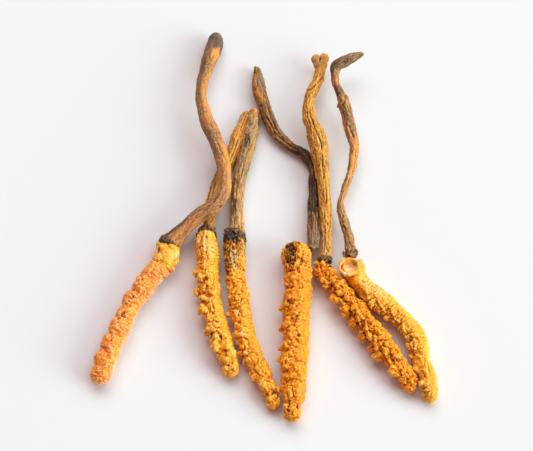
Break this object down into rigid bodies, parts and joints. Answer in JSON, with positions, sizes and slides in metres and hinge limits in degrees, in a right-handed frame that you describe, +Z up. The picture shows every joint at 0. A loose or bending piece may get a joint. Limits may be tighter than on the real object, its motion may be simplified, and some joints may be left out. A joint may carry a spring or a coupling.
{
  "type": "cordyceps bundle",
  "caption": "Dried fungi lying fanned on a surface, each a ringed, crusty larva with a thin furrowed stalk grown from its head.",
  "frame": {"origin": "centre of the bundle's bounding box in plan, on the surface that it lies on", "axes": "+Z up from the surface, +Y from the larvae's tails towards the tips of the stalks, +X to the right as the picture shows it"},
  "size_m": [0.0794, 0.1011, 0.0076],
  "materials": {
    "larva_crust": "dry golden crust, matt and granular",
    "stalk_1": "dried orange-brown fungus, matt, grey at the tip",
    "stalk_2": "dried golden-brown fungus, furrowed, matt",
    "stalk_3": "dried grey-brown fungus, furrowed, matt",
    "stalk_4": "dried dark brown fungus, furrowed, matt",
    "stalk_5": "dried golden-brown fungus, deeply furrowed, matt",
    "stalk_6": "dried reddish-brown fungus, matt, olive-grey at the tip"
  },
  "bodies": {
    "root": {"larva_1": "larva_crust", "larva_2": "larva_crust", "larva_3": "larva_crust", "larva_4": "larva_crust", "larva_5": "larva_crust", "larva_6": "larva_crust", "stalk_1": "stalk_1", "stalk_2": "stalk_2", "stalk_3": "stalk_3", "stalk_4": "stalk_4", "stalk_5": "stalk_5", "stalk_6": "stalk_6"}
  },
  "joints": []
}
